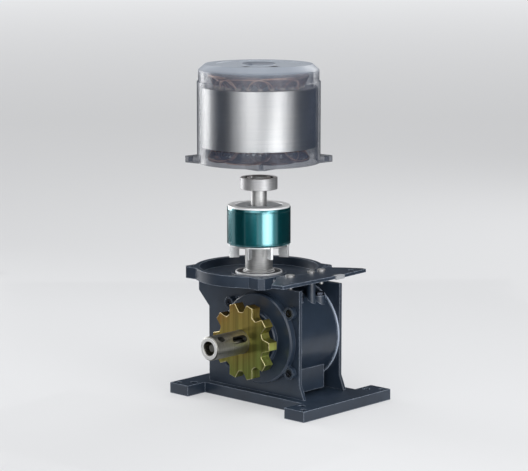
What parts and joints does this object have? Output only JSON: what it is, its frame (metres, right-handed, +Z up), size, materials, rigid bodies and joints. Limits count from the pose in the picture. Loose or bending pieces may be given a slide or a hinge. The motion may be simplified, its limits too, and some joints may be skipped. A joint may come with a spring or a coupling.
{
  "type": "worm gear drive",
  "caption": "Upright motor on a worm reducer with a flanged foot, hollow output shaft and brass spur pinion; the motor cap is lifted off its rotor.",
  "frame": {"origin": "centre of the four foot bolt holes, on the underside of the base plate", "axes": "+Z up along the motor shaft, -Y towards the free end of the output shaft, +X towards the side plate"},
  "size_m": [0.172, 0.1607, 0.3118],
  "materials": {
    "housing_paint": "satin slate paint over cast metal",
    "clear_shell": "see-through smoke-blue shell, glossy",
    "core_steel": "ground lamination stack",
    "copper": "enamelled copper wire",
    "teal_rotor": "glossy teal metallic coat",
    "cast_aluminium": "bright cast and turned",
    "turned_steel": "turned satin",
    "bearing_steel": "ground and polished",
    "brass": "brushed brass with bright edges",
    "bronze": "hobbed bronze",
    "dark_screws": "dark plated",
    "rubber": "black nitrile"
  },
  "bodies": {
    "gearbox": {"base_plate": "housing_paint", "base_screws": "dark_screws", "cover_gasket": "rubber", "cover_screws": "dark_screws", "edge_clip": "turned_steel", "foot_bearing_balls": "bearing_steel", "foot_bearing_outer_ring": "bearing_steel", "foot_plug": "dark_screws", "front_bearing_balls": "bearing_steel", "front_bearing_outer_ring": "bearing_steel", "front_cover": "housing_paint", "front_plate": "housing_paint", "gear_chamber": "housing_paint", "levelling_screws": "dark_screws", "lower_bearing_balls": "bearing_steel", "lower_bearing_outer_ring": "bearing_steel", "lower_bearing_seals": "rubber", "motor_flange": "housing_paint", "oil_breather": "turned_steel", "oil_fill_plug": "dark_screws", "output_seal": "rubber", "rear_bearing_balls": "bearing_steel", "rear_bearing_outer_ring": "bearing_steel", "rear_cap": "housing_paint", "rear_plate": "housing_paint", "side_plate": "housing_paint", "side_plate_screws": "turned_steel"},
    "motor_unit": {"motor_shell": "clear_shell", "stator_core": "core_steel", "winding_lower_turns": "copper", "winding_slot_coils": "copper", "winding_upper_turns": "copper"},
    "rotor": {"foot_bearing_inner_ring": "bearing_steel", "lower_bearing_inner_ring": "bearing_steel", "rotor_core": "teal_rotor", "rotor_fin_ring": "cast_aluminium", "rotor_top_ring": "cast_aluminium", "shaft_spacer": "turned_steel", "top_bearing_balls": "bearing_steel", "top_bearing_inner_ring": "bearing_steel", "top_bearing_outer_ring": "bearing_steel", "top_bearing_shields": "bearing_steel", "worm_shaft": "turned_steel"},
    "output": {"front_bearing_inner_ring": "bearing_steel", "output_pinion": "brass", "output_shaft": "turned_steel", "pinion_key": "turned_steel", "rear_bearing_inner_ring": "bearing_steel", "release_rod": "turned_steel", "wheel_circlip": "turned_steel", "wheel_key": "turned_steel", "worm_wheel": "bronze"}
  },
  "joints": [
    {"name": "motor_lift", "type": "slide", "parent": "gearbox", "child": "motor_unit", "axis": [0, 0, 1], "range_m": [-0.0984, 0]},
    {"name": "rotor_spin", "type": "hinge", "parent": "gearbox", "child": "rotor", "pos_m": [-0.0266, 0, 0.15], "axis": [0, 0, 1], "continuous": true},
    {"name": "output_spin", "type": "hinge", "parent": "gearbox", "child": "output", "pos_m": [0.0054, 0, 0.062], "axis": [0, 1, 0], "continuous": true}
  ],
  "couplings": [
    {"joint": "output_spin", "follows": "rotor_spin", "ratio": -0.033333}
  ]
}
